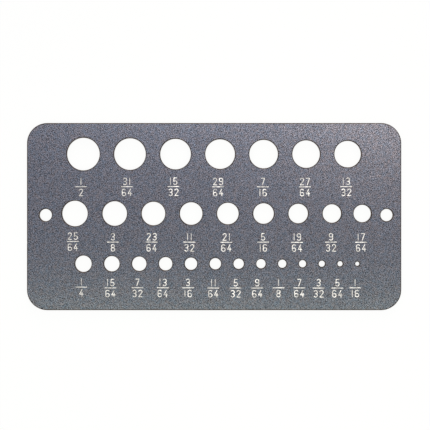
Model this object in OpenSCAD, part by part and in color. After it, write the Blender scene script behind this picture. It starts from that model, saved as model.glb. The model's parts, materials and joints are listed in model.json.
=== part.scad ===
// Drill size gauge: one flat steel plate with a graded run of gauging holes.
// Every hole takes one drill, from the largest at the top left, along the three rows,
// down to the smallest at the bottom right. All lengths are in millimetres.
// Frame: X runs along the plate, Y towards the row of large holes and Z up out of the
// marked face. The origin is the centre of the underside, which the plate lies on.

/* [Plate] */
// Length of the plate, along X
plate_length = 146; // [136:0.5:170]
// Width of the plate, along Y
plate_width = 73; // [68:0.5:90]
// Thickness of the sheet
plate_thickness = 1.6; // [1:0.1:3.2]
// Radius of the four corners
corner_radius = 7.9; // [4:0.1:12]
// Chamfer that takes the sharp edge off the outline and off every hole
edge_break = 0.25; // [0.05:0.05:0.4]

/* [Drill sizes] */
// Size of the largest drill, in 64ths of an inch; each later hole is one 64th smaller
largest_size = 32; // [31:1:34]
// Room between a drill and its hole, on the diameter
drill_clearance = 0.05; // [0:0.01:0.2]

/* [Top row] */
// Number of holes in the top row
top_holes = 7; // [5:1:8]
// Top edge of the plate to the centres of the top row
top_drop = 12.1; // [10:0.1:14]
// Left end of the plate to the nearest edge of the first hole
top_left = 15.6; // [8:0.1:18]
// Last hole's edge to the right end of the plate
top_right = 15.7; // [8:0.1:18]

/* [Middle row] */
// Number of holes in the middle row
middle_holes = 9; // [7:1:10]
// Top edge of the plate to the centres of the middle row
middle_drop = 35.3; // [32:0.1:38]
// Land between the left hanging hole and the first hole
middle_left_land = 4; // [2:0.1:6]
// Land between the last hole and the right hanging hole
middle_right_land = 3.7; // [2:0.1:6]
// How much narrower the web before the last hole is than the row's other webs
middle_last_narrower = 0.9; // [0:0.1:2]

/* [Bottom row] */
// Number of holes in the bottom row
bottom_holes = 13; // [10:1:13]
// Top edge of the plate to the centres of the bottom row
bottom_drop = 54.9; // [50:0.1:58]
// Left end of the plate to the nearest edge of the first hole
bottom_left = 18.8; // [10:0.1:22]
// Last hole's edge to the right end of the plate
bottom_right = 16.3; // [10:0.1:20]

/* [Hanging holes] */
// Diameter of the two hanging holes
hang_d = 4.8; // [3:0.1:6]
// Top edge of the plate to the centres of the hanging holes
hang_drop = 35.9; // [32:0.1:40]
// Left end of the plate to the centre of the left hanging hole
hang_left = 7.3; // [5.5:0.1:9]
// Centre of the right hanging hole to the right end of the plate
hang_right = 5.7; // [5:0.1:9]

/* [End nicks] */
// Top edge of the plate to the middle of the nick at each end
nick_drop = 46.5; // [42:0.1:50]
// How far a nick reaches in from the end of the plate, on the marked face
nick_depth = 0.45; // [0.2:0.05:0.8]
// Length of the left nick, along the end of the plate
nick_left_length = 1.3; // [0.6:0.1:2]
// Length of the right nick, along the end of the plate
nick_right_length = 0.9; // [0.6:0.1:2]

/* [Hidden] */
$fn = 96;
inch = 25.4;
// How far a cutter runs past the face that it opens
overrun = 1;
left_end = -plate_length / 2;
right_end = plate_length / 2;
top_edge = plate_width / 2;
hang_r = hang_d / 2;
middle_left = hang_left + hang_r + middle_left_land;
middle_right = hang_right + hang_r + middle_right_land;
// Each row: number of holes, drop, left margin, right margin, narrowing of the last web
rows = [
    [top_holes, top_drop, top_left, top_right, 0],
    [middle_holes, middle_drop, middle_left, middle_right, middle_last_narrower],
    [bottom_holes, bottom_drop, bottom_left, bottom_right, 0],
];

// Sum of the first count values of a list
function total(list, count) = count == 0 ? 0 : list[count - 1] + total(list, count - 1);

// Number of gauging holes in the rows above this one
function holes_above(row) = total([for (r = rows) r[0]], row);

// Diameter of one hole of the run, counted from the largest
function hole_d(step) = (largest_size - step) / 64 * inch + drill_clearance;

// Diameters of one row, left to right
function row_diameters(row) =
    [for (i = [0 : rows[row][0] - 1]) hole_d(holes_above(row) + i)];

// Centres of one row along X: the holes fill the row with equal webs between them,
// save that the last web may be narrower
function row_centres(row) =
    let (
        d = row_diameters(row),
        count = len(d),
        start = left_end + rows[row][2],
        end = right_end - rows[row][3],
        narrower = rows[row][4],
        web = (end - start - total(d, count) + narrower) / (count - 1)
    )
    [
        for (i = [0 : count - 1])
            start + total(d, i) + i * web + d[i] / 2 - (i == count - 1 ? narrower : 0)
    ];

// Radius of the ball whose cut is this long at the end of the plate and reaches nick_depth in
function nick_r(length) = (length * length / 4 + nick_depth * nick_depth) / (2 * nick_depth);

// Section of a bar across the plate, with its four long edges broken
module broken_section(width) {
    side = width / 2;
    polygon([
        [-side + edge_break, 0],
        [side - edge_break, 0],
        [side, edge_break],
        [side, plate_thickness - edge_break],
        [side - edge_break, plate_thickness],
        [-side + edge_break, plate_thickness],
        [-side, plate_thickness - edge_break],
        [-side, edge_break],
    ]);
}

// Round post that makes one corner of the plate, with the same broken edges
module corner_post() {
    rotate_extrude()
        intersection() {
            broken_section(2 * corner_radius);
            square([corner_radius, plate_thickness]);
        }
}

// The plate before drilling: two crossing bars and four corner posts
module blank() {
    rotate([90, 0, 0])
        linear_extrude(plate_width - 2 * corner_radius, center = true)
            broken_section(plate_length);
    rotate([90, 0, 90])
        linear_extrude(plate_length - 2 * corner_radius, center = true)
            broken_section(plate_width);
    for (side_x = [-1, 1], side_y = [-1, 1])
        translate([
            side_x * (plate_length / 2 - corner_radius),
            side_y * (plate_width / 2 - corner_radius),
            0,
        ])
            corner_post();
}

// Drill and countersinks of one through hole, as a single turned cutter
module hole_cutter(d) {
    r = d / 2;
    mouth = r + edge_break + overrun;
    rotate_extrude()
        polygon([
            [0, -overrun],
            [mouth, -overrun],
            [r, edge_break],
            [r, plate_thickness - edge_break],
            [mouth, plate_thickness + overrun],
            [0, plate_thickness + overrun],
        ]);
}

// All the gauging holes, row by row
module gauge_holes() {
    for (row = [0 : len(rows) - 1]) {
        d = row_diameters(row);
        x = row_centres(row);
        for (i = [0 : len(d) - 1])
            translate([x[i], top_edge - rows[row][1], 0])
                hole_cutter(d[i]);
    }
}

// The two holes that hang the gauge on a peg or take a screw
module hang_holes() {
    for (x = [left_end + hang_left, right_end - hang_right])
        translate([x, top_edge - hang_drop, 0])
            hole_cutter(hang_d);
}

// A small round dent in the marked face's edge at each end, from holding the blank
module end_nicks() {
    r_left = nick_r(nick_left_length);
    r_right = nick_r(nick_right_length);
    translate([left_end + nick_depth - r_left, top_edge - nick_drop, plate_thickness])
        sphere(r_left);
    translate([right_end - nick_depth + r_right, top_edge - nick_drop, plate_thickness])
        sphere(r_right);
}

module gauge_plate() {
    color([0.43, 0.44, 0.47])
        difference() {
            blank();
            gauge_holes();
            hang_holes();
            end_nicks();
        }
}

gauge_plate();
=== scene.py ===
"""Looks of the drill size gauge: its engraved plate, the filled size marks, and a plain studio.

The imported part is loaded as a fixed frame. The shown plate is a copy of its solid with the size of
every hole engraved below that hole, and the marks are the pale fill of the engraving. The engraving
is modelled in millimetres and then scaled down. Other lengths are in metres, apart from fields that
end in _mm.
"""

from __future__ import annotations

import json
import logging
import math
import random
from collections.abc import Callable
from dataclasses import dataclass, field
from enum import Enum, IntEnum

import bmesh
import bpy
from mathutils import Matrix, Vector

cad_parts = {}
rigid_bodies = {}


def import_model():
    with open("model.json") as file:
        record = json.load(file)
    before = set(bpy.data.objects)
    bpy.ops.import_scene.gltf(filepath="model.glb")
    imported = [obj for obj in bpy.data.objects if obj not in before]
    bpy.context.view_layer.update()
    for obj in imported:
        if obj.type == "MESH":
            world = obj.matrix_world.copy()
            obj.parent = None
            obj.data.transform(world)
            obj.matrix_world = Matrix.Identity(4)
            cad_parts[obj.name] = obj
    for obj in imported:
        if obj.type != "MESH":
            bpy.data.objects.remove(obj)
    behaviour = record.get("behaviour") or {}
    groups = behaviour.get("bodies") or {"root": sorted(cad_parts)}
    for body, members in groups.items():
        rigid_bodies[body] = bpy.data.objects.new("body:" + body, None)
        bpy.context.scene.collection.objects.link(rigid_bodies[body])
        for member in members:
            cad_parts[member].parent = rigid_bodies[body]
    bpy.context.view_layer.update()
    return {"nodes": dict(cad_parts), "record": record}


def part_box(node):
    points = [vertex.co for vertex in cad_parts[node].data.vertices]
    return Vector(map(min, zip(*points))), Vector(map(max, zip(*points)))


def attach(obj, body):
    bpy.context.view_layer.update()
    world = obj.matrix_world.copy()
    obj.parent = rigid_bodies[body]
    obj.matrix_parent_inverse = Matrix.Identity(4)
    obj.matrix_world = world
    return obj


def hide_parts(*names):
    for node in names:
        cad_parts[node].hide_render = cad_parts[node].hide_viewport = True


LOG = logging.getLogger("drill_size_gauge")
MM = 0.001
BODY = "root"

Colour = tuple[float, float, float]
Point = tuple[float, float]


class Slot(Enum):
    """Names of the record's material slots for the plate and the size marks."""

    PLATE = "plate_steel"
    MARKS = "size_marks"


class Combine(Enum):
    """Ways of combining two solids."""

    JOIN = "UNION"
    CUT = "DIFFERENCE"


class Region(IntEnum):
    """Regions of the plate, numbered as its material slots."""

    FACE = 0
    RIM = 1
    WALL = 2


class WhiteRay(Enum):
    """Kinds of ray that see the floor and the surroundings as plain white."""

    CAMERA = "Is Camera Ray"
    GLOSSY = "Is Glossy Ray"
    TRANSMISSION = "Is Transmission Ray"


class Bench:
    """Short modelling steps that the pieces are made with."""

    @staticmethod
    def pick(*objects: bpy.types.Object) -> None:
        """Select these objects alone and make the first one active.

        Args:
            objects: The objects that the next operator acts on.
        """
        bpy.ops.object.select_all(action="DESELECT")
        for obj in objects:
            obj.select_set(True)
        bpy.context.view_layer.objects.active = objects[0]

    @staticmethod
    def settle(obj: bpy.types.Object) -> bpy.types.Object:
        """Move an object's place, turn and scale into its mesh.

        Args:
            obj: The object to settle.

        Returns:
            The same object, now at the origin.
        """
        Bench.pick(obj)
        bpy.ops.object.transform_apply(location=True, rotation=True, scale=True)
        return obj

    @staticmethod
    def resize(obj: bpy.types.Object, factor: float) -> bpy.types.Object:
        """Scale an object's mesh about the origin, to pass between metres and millimetres.

        Args:
            obj: The object to scale.
            factor: How many times larger it becomes.

        Returns:
            The same object.
        """
        obj.scale = (factor, factor, factor)
        return Bench.settle(obj)

    @staticmethod
    def copy(obj: bpy.types.Object, name: str) -> bpy.types.Object:
        """Copy an object together with its mesh.

        Args:
            obj: The object to copy.
            name: Name of the copy.

        Returns:
            The copy, with a mesh of its own.
        """
        made = bpy.data.objects.new(name, obj.data.copy())
        bpy.context.scene.collection.objects.link(made)
        return made

    @staticmethod
    def edit(obj: bpy.types.Object) -> None:
        """Enter edit mode on one object."""
        Bench.pick(obj)
        bpy.ops.object.mode_set(mode="EDIT")

    @staticmethod
    def leave() -> None:
        """Return to object mode."""
        bpy.ops.object.mode_set(mode="OBJECT")

    @staticmethod
    def select_points(obj: bpy.types.Object, test: Callable[[Vector], bool]) -> None:
        """Select the vertices that pass a test, in edit mode.

        Args:
            obj: The object in edit mode.
            test: Tells whether the vertex at a place is selected.
        """
        mesh = bmesh.from_edit_mesh(obj.data)
        # Lay the floor.
        bpy.ops.mesh.select_mode(type="VERT")
        for vertex in mesh.verts:
            vertex.select_set(test(vertex.co))
        mesh.select_flush_mode()
        bmesh.update_edit_mesh(obj.data)

    @staticmethod
    def select_faces(obj: bpy.types.Object, test: Callable[[bmesh.types.BMFace], bool]) -> None:
        """Select the faces that pass a test, in edit mode.

        Args:
            obj: The object in edit mode.
            test: Tells whether a face is selected.
        """
        bpy.ops.mesh.select_mode(type="FACE")
        bpy.ops.mesh.select_all(action="DESELECT")
        mesh = bmesh.from_edit_mesh(obj.data)
        for face in mesh.faces:
            face.select_set(test(face))
        bmesh.update_edit_mesh(obj.data)

    @staticmethod
    def combine(base: bpy.types.Object, tool: bpy.types.Object, how: Combine) -> None:
        """Join a solid to another or cut it out of the other, and remove it.

        Args:
            base: The solid that is changed.
            tool: The solid that is joined or cut out.
            how: Whether it is joined or cut out.
        """
        Bench.pick(base)
        bpy.ops.object.modifier_add(type="BOOLEAN")
        modifier = base.modifiers[-1]
        modifier.operation = how.value
        modifier.solver = "MANIFOLD"
        modifier.material_mode = "TRANSFER"
        modifier.object = tool
        bpy.ops.object.modifier_apply(modifier=modifier.name)
        bpy.data.objects.remove(tool)

    @staticmethod
    def merge(obj: bpy.types.Object, distance: float) -> None:
        """Merge points that lie almost on each other, and clear the bare edges that this leaves.

        Args:
            obj: The object to clean.
            distance: How near two points are that become one.
        """
        Bench.edit(obj)
        bpy.ops.mesh.select_all(action="SELECT")
        bpy.ops.mesh.remove_doubles(threshold=distance)
        bpy.ops.mesh.delete_loose()
        Bench.leave()

    @staticmethod
    def gather(objects: list[bpy.types.Object], name: str) -> bpy.types.Object:
        """Join separate meshes into one object.

        Args:
            objects: The objects to join.
            name: Name of the object that they become.

        Returns:
            The joined object.
        """
        Bench.pick(*objects)
        bpy.ops.object.join()
        made = bpy.context.view_layer.objects.active
        made.name = name
        return made


class Nodes:
    """A node tree with short ways to add nodes and link their sockets."""

    def __init__(self, tree: bpy.types.NodeTree) -> None:
        """Start on an emptied tree."""
        self.tree = tree
        self.tree.nodes.clear()

    def add(self, kind: str, **settings: object) -> bpy.types.Node:
        """Add a node and set its properties.

        Args:
            kind: Blender's name of the node type.
            settings: Properties of the node.

        Returns:
            The new node.
        """
        node = self.tree.nodes.new(kind)
        for name, value in settings.items():
            setattr(node, name, value)
        return node

    def link(self, source: bpy.types.NodeSocket, target: bpy.types.NodeSocket) -> None:
        """Link an output socket to an input socket."""
        self.tree.links.new(source, target)

    def math(
        self,
        operation: str,
        first: bpy.types.NodeSocket | float,
        second: bpy.types.NodeSocket | float,
    ) -> bpy.types.NodeSocket:
        """Add a Math node on two values, each a socket or a number.

        Args:
            operation: Blender's name of the operation.
            first: First value.
            second: Second value.

        Returns:
            The result's socket.
        """
        node = self.add("ShaderNodeMath", operation=operation)
        for socket, value in zip(node.inputs, (first, second)):
            if isinstance(value, bpy.types.NodeSocket):
                self.link(value, socket)
            else:
                socket.default_value = value
        return node.outputs["Value"]

    def mix(
        self,
        factor: bpy.types.NodeSocket,
        first: bpy.types.NodeSocket | Colour,
        second: bpy.types.NodeSocket | Colour,
    ) -> bpy.types.NodeSocket:
        """Add a colour Mix node between two colours, each a socket or a plain colour.

        Args:
            factor: Share of the second colour.
            first: First colour.
            second: Second colour.

        Returns:
            The mixed colour's socket.
        """
        node = self.add("ShaderNodeMix", data_type="RGBA", clamp_factor=True)
        self.link(factor, node.inputs["Factor"])
        colour_inputs = [s for s in node.inputs if s.type == "RGBA"]
        for socket, value in zip(colour_inputs, (first, second)):
            if isinstance(value, bpy.types.NodeSocket):
                self.link(value, socket)
            else:
                socket.default_value = (*value, 1.0)
        return next(s for s in node.outputs if s.type == "RGBA")


@dataclass(frozen=True)
class GrainGroup:
    """Node group for the fine grain and the soft mottling that the finishes share."""

    name: str = "surface_grain"
    grain_detail: float = 2.0
    mottle_detail: float = 3.0
    noise_middle: float = 0.5
    least_tone: float = 0.05

    def build(self) -> bpy.types.NodeTree:
        """Build the group once, or return it where it is already built.

        Returns:
            The group: it puts out a tone that varies around 1, a grain height and a mottle mask.
        """
        if self.name in bpy.data.node_groups:
            return bpy.data.node_groups[self.name]
        tree = bpy.data.node_groups.new(self.name, "ShaderNodeTree")
        nodes = Nodes(tree)
        face = tree.interface
        face.new_socket("Vector", in_out="INPUT", socket_type="NodeSocketVector")
        for label in ("Grain Scale", "Grain Contrast", "Mottle Scale", "Mottle Contrast"):
            face.new_socket(label, in_out="INPUT", socket_type="NodeSocketFloat")
        for label in ("Tone", "Height", "Mottle"):
            face.new_socket(label, in_out="OUTPUT", socket_type="NodeSocketFloat")
        given = nodes.add("NodeGroupInput").outputs
        result = nodes.add("NodeGroupOutput").inputs
        grain = self.noise(nodes, given["Vector"], given["Grain Scale"], self.grain_detail)
        mottle = self.noise(nodes, given["Vector"], given["Mottle Scale"], self.mottle_detail)
        grain_part = self.swing(nodes, grain, given["Grain Contrast"])
        mottle_part = self.swing(nodes, mottle, given["Mottle Contrast"])
        both = nodes.math("ADD", grain_part, mottle_part)
        nodes.link(nodes.math("MAXIMUM", nodes.math("ADD", both, 1.0), self.least_tone), result["Tone"])
        nodes.link(grain, result["Height"])
        nodes.link(mottle, result["Mottle"])
        return tree

    def swing(
        self,
        nodes: Nodes,
        noise: bpy.types.NodeSocket,
        contrast: bpy.types.NodeSocket,
    ) -> bpy.types.NodeSocket:
        """Scale a noise's departure from its middle."""
        return nodes.math("MULTIPLY", nodes.math("SUBTRACT", noise, self.noise_middle), contrast)

    @staticmethod
    def noise(
        nodes: Nodes,
        vector: bpy.types.NodeSocket,
        scale: bpy.types.NodeSocket,
        detail: float,
    ) -> bpy.types.NodeSocket:
        """Add one noise texture.

        Args:
            nodes: The group's nodes.
            vector: Place on the surface.
            scale: Features in a metre.
            detail: Finer layers of noise on top of the first.

        Returns:
            The noise, from 0 to 1.
        """
        node = nodes.add("ShaderNodeTexNoise")
        nodes.link(vector, node.inputs["Vector"])
        nodes.link(scale, node.inputs["Scale"])
        node.inputs["Detail"].default_value = detail
        return node.outputs["Fac"]

    def place(
        self,
        nodes: Nodes,
        grain_mm: float,
        grain_contrast: float,
        mottle_mm: float,
        mottle_contrast: float,
        stretch: tuple[float, float, float] = (1.0, 1.0, 1.0),
    ) -> bpy.types.Node:
        """Place the group in a material, on the piece's own coordinates.

        Args:
            nodes: The material's nodes.
            grain_mm: Size of one grain.
            grain_contrast: Strength of the grain in the tone.
            mottle_mm: Size of one cloud of the mottling.
            mottle_contrast: Strength of the mottling in the tone.
            stretch: Scale of the pattern along X, Y and Z.

        Returns:
            The group's node.
        """
        coordinates = nodes.add("ShaderNodeTexCoord")
        mapping = nodes.add("ShaderNodeMapping")
        mapping.inputs["Scale"].default_value = stretch
        nodes.link(coordinates.outputs["Object"], mapping.inputs["Vector"])
        group = nodes.add("ShaderNodeGroup", node_tree=self.build())
        nodes.link(mapping.outputs["Vector"], group.inputs["Vector"])
        group.inputs["Grain Scale"].default_value = 1.0 / (grain_mm * MM)
        group.inputs["Grain Contrast"].default_value = grain_contrast
        group.inputs["Mottle Scale"].default_value = 1.0 / (mottle_mm * MM)
        group.inputs["Mottle Contrast"].default_value = mottle_contrast
        return group


@dataclass(frozen=True)
class GrainedFinish:
    """A finish with two tints, a fine grain, soft mottling and a slight bump."""

    name: str
    cool: Colour
    warm: Colour
    metallic: float
    roughness_low: float
    roughness_high: float
    grain_mm: float
    grain_contrast: float
    mottle_mm: float
    mottle_contrast: float
    bump_strength: float
    bump_mm: float
    stretch: tuple[float, float, float] = (1.0, 1.0, 1.0)
    low_grain: float = 0.3
    high_grain: float = 0.7

    def build(self) -> bpy.types.Material:
        """Build the material.

        Returns:
            The finished material.
        """
        material = bpy.data.materials.new(self.name)
        material.use_nodes = True
        nodes = Nodes(material.node_tree)
        grain = GrainGroup().place(
            nodes,
            self.grain_mm,
            self.grain_contrast,
            self.mottle_mm,
            self.mottle_contrast,
            self.stretch,
        )
        shader = nodes.add("ShaderNodeBsdfPrincipled")
        shader.inputs["Metallic"].default_value = self.metallic
        tint = nodes.mix(grain.outputs["Mottle"], self.cool, self.warm)
        toned = nodes.add("ShaderNodeVectorMath", operation="SCALE")
        nodes.link(tint, toned.inputs[0])
        nodes.link(self.tone(nodes, grain), toned.inputs["Scale"])
        nodes.link(toned.outputs["Vector"], shader.inputs["Base Color"])
        gloss = nodes.add("ShaderNodeMapRange")
        gloss.inputs["From Min"].default_value = self.low_grain
        gloss.inputs["From Max"].default_value = self.high_grain
        gloss.inputs["To Min"].default_value = self.roughness_high
        gloss.inputs["To Max"].default_value = self.roughness_low
        nodes.link(grain.outputs["Height"], gloss.inputs["Value"])
        nodes.link(gloss.outputs["Result"], shader.inputs["Roughness"])
        bump = nodes.add("ShaderNodeBump")
        bump.inputs["Strength"].default_value = self.bump_strength
        bump.inputs["Distance"].default_value = self.bump_mm * MM
        nodes.link(grain.outputs["Height"], bump.inputs["Height"])
        nodes.link(bump.outputs["Normal"], shader.inputs["Normal"])
        output = nodes.add("ShaderNodeOutputMaterial")
        nodes.link(shader.outputs["BSDF"], output.inputs["Surface"])
        return material

    def tone(self, nodes: Nodes, grain: bpy.types.Node) -> bpy.types.NodeSocket:
        """Tone that the tint is scaled by: here the grain's own."""
        return grain.outputs["Tone"]


@dataclass(frozen=True)
class LeftDarkeningFinish(GrainedFinish):
    """A grained finish whose tone is darker towards the left end of the plate."""

    left_end_tone: float = 0.79
    darkest_mm: float = -55.0
    full_tone_mm: float = -12.0

    def tone(self, nodes: Nodes, grain: bpy.types.Node) -> bpy.types.NodeSocket:
        """Scale the grain's tone down towards the left end of the plate.

        Args:
            nodes: The material's nodes.
            grain: The node of the grain.

        Returns:
            The tone's socket.
        """
        coordinates = nodes.add("ShaderNodeTexCoord")
        along = nodes.add("ShaderNodeSeparateXYZ")
        nodes.link(coordinates.outputs["Object"], along.inputs["Vector"])
        darkening = nodes.add("ShaderNodeMapRange")
        darkening.inputs["From Min"].default_value = self.darkest_mm * MM
        darkening.inputs["From Max"].default_value = self.full_tone_mm * MM
        darkening.inputs["To Min"].default_value = self.left_end_tone
        darkening.inputs["To Max"].default_value = 1.0
        nodes.link(along.outputs["X"], darkening.inputs["Value"])
        return nodes.math("MULTIPLY", grain.outputs["Tone"], darkening.outputs["Result"])


# The face's strong grain tone is partly the steel's own grain and partly painted glints and dark pits,
# standing in for sparkle that the bump cannot give under the even white surroundings.
SATIN_FACE = GrainedFinish(
    name="satin_gunmetal",
    cool=(0.077, 0.109, 0.161),
    warm=(0.134, 0.108, 0.112),
    metallic=1.0,
    roughness_low=0.26,
    roughness_high=0.36,
    grain_mm=0.26,
    grain_contrast=8.0,
    mottle_mm=1.0,
    mottle_contrast=0.2,
    bump_strength=0.15,
    bump_mm=0.01,
)

# Dark ring and chamfers round every edge: partly the worn, rusty edge's own colour, partly painted edge
# shade.
RIM_WEAR_AND_SHADE = GrainedFinish(
    name="rim_wear_and_painted_shade",
    cool=(0.024, 0.021, 0.019),
    warm=(0.075, 0.052, 0.038),
    metallic=1.0,
    roughness_low=0.40,
    roughness_high=0.55,
    grain_mm=0.3,
    grain_contrast=1.2,
    mottle_mm=1.8,
    mottle_contrast=0.9,
    bump_strength=0.3,
    bump_mm=0.02,
)

PUNCHED_EDGE = GrainedFinish(
    name="punched_steel_edge",
    cool=(0.16, 0.155, 0.16),
    warm=(0.22, 0.19, 0.17),
    metallic=1.0,
    roughness_low=0.36,
    roughness_high=0.52,
    grain_mm=0.3,
    grain_contrast=1.2,
    mottle_mm=1.5,
    mottle_contrast=0.8,
    bump_strength=0.3,
    bump_mm=0.02,
    stretch=(1.0, 1.0, 0.15),
)

# The marks' fill grows darker towards the left end of the plate.
MARK_FILL = LeftDarkeningFinish(
    name="pale_mark_fill",
    cool=(0.69, 0.64, 0.645),
    warm=(0.96, 0.91, 0.93),
    metallic=0.0,
    roughness_low=0.5,
    roughness_high=0.7,
    grain_mm=0.3,
    grain_contrast=0.8,
    mottle_mm=1.4,
    mottle_contrast=2.3,
    bump_strength=0.2,
    bump_mm=0.01,
)


@dataclass(frozen=True)
class Line:
    """Straight stroke of a digit, in units of its bowl's radius."""

    start: Point
    end: Point


@dataclass(frozen=True)
class Arc:
    """Round stroke of a digit, in the same units and in degrees, anticlockwise for a positive sweep."""

    centre: Point
    radius: float
    start: float
    sweep: float

    def point(self, angle: float) -> Point:
        """Point of the arc's circle at an angle in degrees."""
        turn = math.radians(angle)
        return (
            self.centre[0] + self.radius * math.cos(turn),
            self.centre[1] + self.radius * math.sin(turn),
        )


Stroke = Line | Arc

DIGIT_UNITS_HIGH = 4.0
DIGIT_STROKES: dict[str, tuple[Stroke, ...]] = {
    "1": (Line((0, 4), (0, 0)),),
    "2": (Arc((0, 3), 1, 165, -205), Line((0.77, 2.36), (-1, 0)), Line((-1, 0), (1, 0))),
    "3": (Arc((0, 3), 1, 150, -235), Arc((0, 1), 1, 105, -255)),
    "4": (Line((0.4, 4), (-1, 1.25)), Line((-1, 1.25), (1.05, 1.25)), Line((0.45, 2.2), (0.45, 0))),
    "5": (Line((0.85, 4), (-0.7, 4)), Line((-0.7, 4), (-0.9, 1.8)), Arc((-0.05, 1.1), 1.1, 140, -290)),
    "6": (Arc((0, 1.05), 1.05, 0, 360), Arc((0, 2.95), 1.05, 35, 145), Line((-1.02, 2.95), (-1.02, 1.05))),
    "7": (Line((-1, 4), (1, 4)), Line((1, 4), (-0.35, 0))),
    "8": (Arc((0, 3.05), 0.95, 0, 360), Arc((0, 1.05), 1.05, 0, 360)),
    "9": (Arc((0, 2.95), 1.05, 0, 360), Arc((0, 1.05), 1.05, 215, 145), Line((1.02, 1.05), (1.02, 2.95))),
}


@dataclass
class MarkPunch:
    """The set of digits and the bar that the size marks are made with, modelled once in millimetres."""

    digit_height_mm: float = 2.9
    stroke_mm: float = 0.315
    one_stroke_mm: float = 0.22
    advance_mm: float = 2.3
    one_advance_mm: float = 1.4
    bar_length_mm: float = 4.65
    bar_width_mm: float = 0.34
    above_bar_mm: float = 0.46
    below_bar_mm: float = 0.62
    depth_mm: float = 0.12
    proud_mm: float = 0.1
    round_sides: int = 16
    arc_step_deg: float = 15.0
    merge_mm: float = 0.0001
    join_mm: float = 0.004
    flat_normal: float = 0.9
    digits: dict[str, bpy.types.Object] = field(default_factory=dict)

    def width(self, digit: str) -> float:
        """Stroke width of a digit."""
        return self.one_stroke_mm if digit == "1" else self.stroke_mm

    def advance(self, digit: str) -> float:
        """Room that a digit takes along its line."""
        return self.one_advance_mm if digit == "1" else self.advance_mm

    @property
    def unit(self) -> float:
        """Radius of a digit's bowl."""
        return (self.digit_height_mm - self.stroke_mm) / DIGIT_UNITS_HIGH

    @property
    def high_middle(self) -> float:
        """Height of the upper number's middle over the bar's."""
        return self.bar_width_mm / 2 + self.above_bar_mm + self.digit_height_mm / 2

    @property
    def low_middle(self) -> float:
        """Height of the lower number's middle over the bar's, below zero."""
        return -(self.bar_width_mm / 2 + self.below_bar_mm + self.digit_height_mm / 2)

    @property
    def half_side(self) -> float:
        """Half the angle that one side of a round end takes up."""
        return math.pi / self.round_sides

    @property
    def height(self) -> float:
        """Height of a cutter."""
        return self.depth_mm + self.proud_mm

    @property
    def middle(self) -> float:
        """Height of a cutter's middle over the marked face."""
        return (self.proud_mm - self.depth_mm) / 2

    def dot(self, place: Vector, width: float, turn: float) -> bpy.types.Object:
        """Add the round cutter at one place.

        Args:
            place: Where it stands on the marked face.
            width: Its diameter.
            turn: Its turn about its axis.

        Returns:
            The cutter's solid.
        """
        bpy.ops.object.select_all(action="DESELECT")
        bpy.ops.mesh.primitive_cylinder_add(
            vertices=self.round_sides,
            radius=width / 2,
            depth=self.height,
            location=(place.x, place.y, self.middle),
            rotation=(0, 0, turn),
        )
        return Bench.settle(bpy.context.object)

    def line(self, start: Vector, end: Vector, width: float) -> bpy.types.Object:
        """Draw the round cutter out along a straight stroke.

        Args:
            start: Start of the stroke.
            end: End of the stroke.
            width: Width of the stroke.

        Returns:
            The stroke's solid, with round ends.
        """
        run = end - start
        solid = self.dot(start, width, math.atan2(run.y, run.x) + self.half_side)
        Bench.edit(solid)
        Bench.select_points(solid, lambda co: (co.xy - start.xy).dot(run.xy) > 0)
        bpy.ops.transform.translate(value=(run.x, run.y, 0))
        Bench.leave()
        return solid

    def ring(self, centre: Vector, radius: float, width: float) -> bpy.types.Object:
        """Make a full circle's stroke from a disc, by insetting its two faces and bridging them.

        Args:
            centre: Centre of the circle.
            radius: Radius of the stroke's middle line.
            width: Width of the stroke.

        Returns:
            The ring's solid.
        """
        bpy.ops.object.select_all(action="DESELECT")
        bpy.ops.mesh.primitive_cylinder_add(
            vertices=round(360 / self.arc_step_deg),
            radius=radius + width / 2,
            depth=self.height,
            location=(centre.x, centre.y, self.middle),
        )
        solid = Bench.settle(bpy.context.object)
        Bench.edit(solid)
        Bench.select_faces(solid, lambda face: abs(face.normal.z) > self.flat_normal)
        bpy.ops.mesh.inset(thickness=width)
        bpy.ops.mesh.bridge_edge_loops()
        bpy.ops.mesh.select_all(action="SELECT")
        bpy.ops.mesh.normals_make_consistent(inside=False)
        Bench.leave()
        return solid

    def arc(self, stroke: Arc, width: float) -> list[bpy.types.Object]:
        """Spin the stroke's section round the arc's centre and round off both ends.

        Args:
            stroke: The arc, in digit units.
            width: Width of the stroke.

        Returns:
            The arc's solid and the two round ends.
        """
        centre = self.place(stroke.centre)
        angles = (stroke.start, stroke.start + stroke.sweep)
        ends = [self.place(stroke.point(angle)) for angle in angles]
        bpy.ops.object.select_all(action="DESELECT")
        bpy.ops.mesh.primitive_plane_add(
            size=1,
            location=(ends[0].x, ends[0].y, self.middle),
            rotation=(math.pi / 2, 0, math.radians(stroke.start)),
        )
        solid = bpy.context.object
        solid.scale = (width, self.height, 1)
        Bench.settle(solid)
        Bench.edit(solid)
        bpy.ops.mesh.select_all(action="SELECT")
        bpy.ops.mesh.spin(
            steps=max(2, round(abs(stroke.sweep) / self.arc_step_deg)),
            angle=-math.radians(stroke.sweep),
            center=centre,
            axis=(0, 0, 1),
        )
        bpy.ops.mesh.select_all(action="SELECT")
        bpy.ops.mesh.remove_doubles(threshold=self.merge_mm)
        bpy.ops.mesh.normals_make_consistent(inside=False)
        Bench.leave()
        turns = [math.radians(angle) + self.half_side for angle in angles]
        return [solid, *(self.dot(end, width, turn) for end, turn in zip(ends, turns))]

    def place(self, point: Point) -> Vector:
        """Place of a digit's own point."""
        return Vector((point[0] * self.unit, point[1] * self.unit, 0))

    def stroke_solids(self, stroke: Stroke, width: float) -> list[bpy.types.Object]:
        """Make the solids of one stroke.

        Args:
            stroke: A line or an arc.
            width: Width of the stroke.

        Returns:
            Its overlapping solids.
        """
        if isinstance(stroke, Line):
            return [self.line(self.place(stroke.start), self.place(stroke.end), width)]
        if abs(stroke.sweep) >= 360:
            return [self.ring(self.place(stroke.centre), stroke.radius * self.unit, width)]
        return self.arc(stroke, width)

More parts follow.
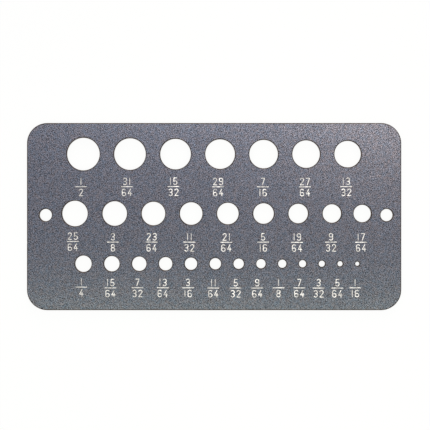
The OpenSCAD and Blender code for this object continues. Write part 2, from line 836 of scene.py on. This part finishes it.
    def digit(self, name: str) -> bpy.types.Object:
        """Model one digit, the first time that it is asked for.

        Args:
            name: The digit.

        Returns:
            The digit's solid, standing on its base line at the origin.
        """
        if name not in self.digits:
            solids = []
            for stroke in DIGIT_STROKES[name]:
                solids += self.stroke_solids(stroke, self.width(name))
            for solid in solids[1:]:
                Bench.combine(solids[0], solid, Combine.JOIN)
            Bench.merge(solids[0], self.join_mm)
            solids[0].name = f"digit_{name}"
            self.digits[name] = solids[0]
        return self.digits[name]

    def number(self, text: str, centre: Point) -> list[bpy.types.Object]:
        """Set the digits of a number side by side.

        Args:
            text: The number.
            centre: Middle of its base line.

        Returns:
            A copy of each digit in its place.
        """
        at = centre[0] - sum(self.advance(d) for d in text) / 2
        placed = []
        for digit in text:
            copy = Bench.copy(self.digit(digit), f"mark_{digit}")
            copy.location = (at + self.advance(digit) / 2, centre[1], 0)
            at += self.advance(digit)
            placed.append(copy)
        return placed

    def fraction(self, top: str, bottom: str, place: Vector, turn: float) -> bpy.types.Object:
        """Set one size mark: a number over a bar over a number.

        Args:
            top: Number over the bar.
            bottom: Number under the bar.
            place: Middle of the bar, on the marked face.
            turn: Slight turn of the whole mark.

        Returns:
            The mark's solid.
        """
        half_bar = (self.bar_length_mm - self.bar_width_mm) / 2
        half_digit = (self.digit_height_mm - self.stroke_mm) / 2
        parts = self.number(top, (0, self.high_middle - half_digit))
        parts += self.number(bottom, (0, self.low_middle - half_digit))
        parts.append(self.line(Vector((-half_bar, 0, 0)), Vector((half_bar, 0, 0)), self.bar_width_mm))
        mark = Bench.gather([Bench.settle(p) for p in parts], f"size_{top}_{bottom}")
        mark.location = place
        mark.rotation_euler = (0, 0, turn)
        return Bench.settle(mark)

    def put_away(self) -> None:
        """Remove the digits that were only copied from."""
        for solid in self.digits.values():
            bpy.data.objects.remove(solid)
        self.digits.clear()


@dataclass(frozen=True)
class MarkRow:
    """How the marks of one row of holes were set by hand.

    They lie drop_mm below their holes, each as far left of its hole as left_mm says, and the first
    one lies first_lift_mm higher than the others.
    """

    drop_mm: float
    left_mm: tuple[float, ...]
    first_lift_mm: float = 0.0


MARK_ROWS = (
    MarkRow(12.75, (0.9, 1.2, 0.8, 0.8, 0.3, 0.5, 0.6)),
    MarkRow(11.2, (0.8, 0.7, 0.7, 0.7, 0.6, 0.2, 0.5, 0.4, 0.5), first_lift_mm=0.3),
    MarkRow(9.4, (0.8, 0.5, 0.7, 1.1, 1.2, 0.8, 1.2, 1.5, 1.5, 1.3, 1.3, 1.1, 0.9), first_lift_mm=0.28),
)


@dataclass
class EngravedPlate:
    """The gauge's plate, engraved with a size under every gauging hole, and the engraving's fill."""

    mounts: list[dict]
    node: str = "gauge_plate"
    hole_prefix: str = "drill_"
    fill_sunk_mm: float = 0.03
    fill_clear_mm: float = 0.002
    turn_spread_deg: float = 0.7
    drop_spread_mm: float = 0.07
    seed: int = 64
    merge_mm: float = 0.0001
    join_mm: float = 0.003
    rim_mm: float = 0.08
    wall_normal: float = 0.3
    smooth_deg: float = 30.0
    punch: MarkPunch = field(default_factory=MarkPunch)

    def holes_by_row(self) -> list[list[dict]]:
        """Sort the gauging holes into rows, top row first.

        Returns:
            The bores of each row, from left to right.
        """
        rows: dict[float, list[dict]] = {}
        for mount in self.mounts:
            if mount["name"].startswith(self.hole_prefix):
                rows.setdefault(mount["pos_m"][1], []).append(mount)
        return [sorted(rows[y], key=lambda m: m["pos_m"][0]) for y in sorted(rows, reverse=True)]

    def cut_marks(self, face: float) -> bpy.types.Object:
        """Set every size mark on the marked face.

        Args:
            face: Height of the marked face, in millimetres.

        Returns:
            The cutter of the whole engraving, in millimetres.
        """
        hand = random.Random(self.seed)
        marks = []
        for row, holes in zip(MARK_ROWS, self.holes_by_row()):
            for left, hole in zip(row.left_mm, holes):
                top, bottom = hole["name"].removeprefix(self.hole_prefix).split("_")
                x, y, _ = (length / MM for length in hole["pos_m"])
                lift = row.first_lift_mm if hole is holes[0] else 0.0
                drop = row.drop_mm - lift + hand.uniform(-1, 1) * self.drop_spread_mm
                turn = math.radians(hand.uniform(-1, 1) * self.turn_spread_deg)
                marks.append(self.punch.fraction(top, bottom, Vector((x - left, y - drop, face)), turn))
        self.punch.put_away()
        return Bench.gather(marks, "engraving")

    def fill(self, cutter: bpy.types.Object, face: float) -> bpy.types.Object:
        """Make the fill of the engraving, a little lower than the marked face.

        Args:
            cutter: The cutter of the engraving, in millimetres.
            face: Height of the marked face, in millimetres.

        Returns:
            The fill, in metres.
        """
        made = Bench.copy(cutter, "size_marks")
        floor = face - self.punch.depth_mm
        Bench.edit(made)
        Bench.select_points(made, lambda co: co.z > face)
        bpy.ops.transform.translate(value=(0, 0, -self.punch.proud_mm - self.fill_sunk_mm))
        Bench.select_points(made, lambda co: co.z < floor + self.fill_clear_mm)
        bpy.ops.transform.translate(value=(0, 0, self.fill_clear_mm))
        Bench.leave()
        made.data.materials.append(MARK_FILL.build())
        return Bench.resize(made, MM)

    def blank(self, solid: bpy.types.Object, face: float) -> bpy.types.Object:
        """Copy the plate's solid, merge its loose triangles and dress it.

        Args:
            solid: The plate's own object.
            face: Height of the marked face, in millimetres.

        Returns:
            The copy, as one closed mesh in millimetres.
        """
        made = Bench.resize(Bench.copy(solid, "engraved_plate"), 1 / MM)
        Bench.pick(made)
        bpy.ops.mesh.customdata_custom_splitnormals_clear()
        Bench.merge(made, self.merge_mm)
        self.dress(made, face)
        Bench.edit(made)
        for height in self.split_heights():
            bpy.ops.mesh.select_all(action="SELECT")
            bpy.ops.mesh.bisect(plane_co=(0, height, 0), plane_no=(0, 1, 0), threshold=self.merge_mm)
        Bench.leave()
        return made

    def split_heights(self) -> list[float]:
        """Lines along which the plate is split, so that no stroke lies as an island in a larger face.

        Returns:
            The middle of every line of digits and of every height of bar, along Y in millimetres.
        """
        heights = []
        for row, holes in zip(MARK_ROWS, self.holes_by_row()):
            bar = holes[0]["pos_m"][1] / MM - row.drop_mm
            heights += [bar + self.punch.high_middle, bar + self.punch.low_middle]
            heights += sorted({bar, bar + row.first_lift_mm})
        return heights

    def engrave(self, plate: bpy.types.Object, cutter: bpy.types.Object) -> bpy.types.Object:
        """Cut the engraving into the plate and bring the plate back to metres.

        Args:
            plate: The plate, in millimetres.
            cutter: The cutter of the engraving, in millimetres.

        Returns:
            The engraved plate, as triangles.
        """
        # The engraving's walls take the same dark rim finish, so each groove is outlined in it: partly
        # worn steel, partly painted shade.
        cutter.data.materials.append(plate.data.materials[Region.RIM])
        Bench.combine(plate, cutter, Combine.CUT)
        Bench.merge(plate, self.join_mm)
        Bench.edit(plate)
        bpy.ops.mesh.select_all(action="SELECT")
        bpy.ops.mesh.quads_convert_to_tris()
        Bench.leave()
        Bench.resize(plate, MM)
        bpy.ops.object.shade_smooth_by_angle(angle=math.radians(self.smooth_deg))
        return plate

    def lies_flat(self, part: bmesh.types.BMFace, face: float) -> bool:
        """Tell whether a whole mesh face lies on the underside or on the marked face."""
        return all(min(v.co.z, face - v.co.z) < self.merge_mm for v in part.verts)

    def dress(self, plate: bpy.types.Object, face: float) -> None:
        """Mark off a dark rim round every edge of both flat faces, and give each region its finish; the
        rim is partly worn edge steel and partly painted edge shade.

        Args:
            plate: The plate before it is engraved, in millimetres.
            face: Height of the marked face, in millimetres.
        """
        plate.data.materials.clear()
        for finish in (SATIN_FACE, RIM_WEAR_AND_SHADE, PUNCHED_EDGE):
            plate.data.materials.append(finish.build())
        Bench.edit(plate)
        Bench.select_faces(plate, lambda part: self.lies_flat(part, face))
        bpy.ops.mesh.inset(thickness=self.rim_mm)
        for part in bmesh.from_edit_mesh(plate.data).faces:
            if abs(part.normal.z) < self.wall_normal:
                part.material_index = Region.WALL
            else:
                part.material_index = Region.FACE if part.select else Region.RIM
        bmesh.update_edit_mesh(plate.data)
        Bench.leave()

    def build(self, nodes: dict[str, bpy.types.Object]) -> list[bpy.types.Object]:
        """Build the plate and its marks and seat them in the frame.

        Args:
            nodes: The frame's CAD nodes by name.

        Returns:
            The plate and the marks.
        """
        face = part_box(self.node)[1].z
        cutter = self.cut_marks(face / MM)
        marks = self.fill(cutter, face / MM)
        plate = self.engrave(self.blank(nodes[self.node], face / MM), cutter)
        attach(plate, BODY)
        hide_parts(self.node)
        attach(marks, BODY)
        return [plate, marks]


@dataclass(frozen=True)
class Softbox:
    """A soft rectangular lamp that looks at a point of the plate."""

    name: str
    place: tuple[float, float, float]
    target: tuple[float, float, float]
    width: float
    depth: float
    watts: float
    colour: Colour

    def build(self) -> None:
        """Hang the lamp."""
        data = bpy.data.lights.new(self.name, "AREA")
        data.shape = "RECTANGLE"
        data.size = self.width
        data.size_y = self.depth
        data.energy = self.watts
        data.color = self.colour
        lamp = bpy.data.objects.new(self.name, data)
        bpy.context.scene.collection.objects.link(lamp)
        lamp.location = self.place
        lamp.visible_camera = False
        aim = Vector(self.target) - Vector(self.place)
        lamp.rotation_euler = aim.to_track_quat("-Z", "Y").to_euler()


@dataclass(frozen=True)
class Studio:
    """Pale floor, white surroundings, soft lamps and a camera that looks straight down."""

    floor_width: float = 8.0
    floor_gap: float = 0.00005
    floor_colour: Colour = (0.86, 0.86, 0.86)
    white_share: float = 0.90
    ambient: float = 0.70
    ambient_colour: Colour = (0.97, 0.985, 1.0)
    lens_mm: float = 98.1
    sensor_mm: float = 36.0
    near_clip: float = 0.01
    far_clip: float = 50.0
    camera_place: tuple[float, float, float] = (0.00034, 0.00062, 0.4585)
    lamps: tuple[Softbox, ...] = (
        Softbox(
            name="key",
            place=(0.112, 0.079, 0.276),
            target=(0.06, 0.03, 0.0),
            width=0.08,
            depth=0.08,
            watts=0.037,
            colour=(1.0, 0.78, 0.52),
        ),
        Softbox(
            name="top_strip",
            place=(0.024, 0.121, 0.371),
            target=(0.012, 0.0, 0.0),
            width=0.32,
            depth=0.05,
            watts=0.30,
            colour=(1.0, 0.98, 0.93),
        ),
        Softbox(
            name="bottom_strip",
            place=(0.012, -0.085, 0.177),
            target=(0.012, 0.0, 0.0),
            width=0.36,
            depth=0.04,
            watts=0.15,
            colour=(0.86, 1.0, 0.62),
        ),
        Softbox(
            name="back",
            place=(0.1, 0.8, 0.25),
            target=(0.0, 0.0, 0.0),
            width=0.6,
            depth=0.3,
            watts=3.0,
            colour=(1.0, 0.90, 0.80),
        ),
    )

    def seen_as_white(self, nodes: Nodes) -> bpy.types.NodeSocket:
        """Add a mask of the rays that see plain white.

        Args:
            nodes: The nodes of the floor's material or of the world.

        Returns:
            The mask's socket.
        """
        path = nodes.add("ShaderNodeLightPath")
        mask = path.outputs[WhiteRay.CAMERA.value]
        for ray in (WhiteRay.GLOSSY, WhiteRay.TRANSMISSION):
            mask = nodes.math("MAXIMUM", mask, path.outputs[ray.value])
        return mask

    def floor(self) -> None:
        """Lay the floor and mark it as stage."""
        bpy.ops.object.select_all(action="DESELECT")
        bpy.ops.mesh.primitive_plane_add(size=self.floor_width, location=(0, 0, -self.floor_gap))
        floor = bpy.context.object
        floor.name = "floor"
        material = bpy.data.materials.new("pale_floor")
        material.use_nodes = True
        nodes = Nodes(material.node_tree)
        paint = nodes.add("ShaderNodeBsdfDiffuse")
        paint.inputs["Color"].default_value = (*self.floor_colour, 1.0)
        glow = nodes.add("ShaderNodeEmission")
        share = nodes.math("MULTIPLY", self.seen_as_white(nodes), self.white_share)
        blend = nodes.add("ShaderNodeMixShader")
        nodes.link(share, blend.inputs["Fac"])
        nodes.link(paint.outputs["BSDF"], blend.inputs[1])
        nodes.link(glow.outputs["Emission"], blend.inputs[2])
        output = nodes.add("ShaderNodeOutputMaterial")
        nodes.link(blend.outputs["Shader"], output.inputs["Surface"])
        floor.data.materials.append(material)

    def surroundings(self) -> None:
        """Make the world: plain white to look at, and a softer light on what it lights."""
        world = bpy.data.worlds.new("studio")
        world.use_nodes = True
        bpy.context.scene.world = world
        nodes = Nodes(world.node_tree)
        light = nodes.add("ShaderNodeBackground")
        light.inputs["Color"].default_value = (*self.ambient_colour, 1.0)
        light.inputs["Strength"].default_value = self.ambient
        white = nodes.add("ShaderNodeBackground")
        white.inputs["Color"].default_value = (1.0, 1.0, 1.0, 1.0)
        blend = nodes.add("ShaderNodeMixShader")
        nodes.link(self.seen_as_white(nodes), blend.inputs["Fac"])
        nodes.link(light.outputs["Background"], blend.inputs[1])
        nodes.link(white.outputs["Background"], blend.inputs[2])
        output = nodes.add("ShaderNodeOutputWorld")
        nodes.link(blend.outputs["Shader"], output.inputs["Surface"])

    def camera(self) -> None:
        """Place the camera over the plate."""
        data = bpy.data.cameras.new("camera")
        data.lens = self.lens_mm
        data.sensor_width = self.sensor_mm
        data.clip_start = self.near_clip
        data.clip_end = self.far_clip
        camera = bpy.data.objects.new("camera", data)
        bpy.context.scene.collection.objects.link(camera)
        camera.location = self.camera_place
        bpy.context.scene.camera = camera

    def build(self) -> None:
        """Set up the floor, the light and the camera."""
        self.floor()
        self.surroundings()
        for lamp in self.lamps:
            lamp.build()
        self.camera()
        bpy.context.scene.view_settings.view_transform = "Standard"


def clear_scene() -> None:
    """Remove what Blender's first scene holds."""
    for obj in list(bpy.data.objects):
        bpy.data.objects.remove(obj)


def main() -> None:
    """Load the frame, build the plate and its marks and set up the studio."""
    logging.basicConfig(level=logging.INFO, format="%(name)s: %(message)s")
    clear_scene()
    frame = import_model()
    plate = EngravedPlate(mounts=frame["record"]["mounts"])
    for piece in plate.build(frame["nodes"]):
        LOG.info("%s has %d faces", piece.name, len(piece.data.polygons))
    Studio().build()
    LOG.info("the floor, the lamps and the camera are in place")


if __name__ == "__main__":
    main()
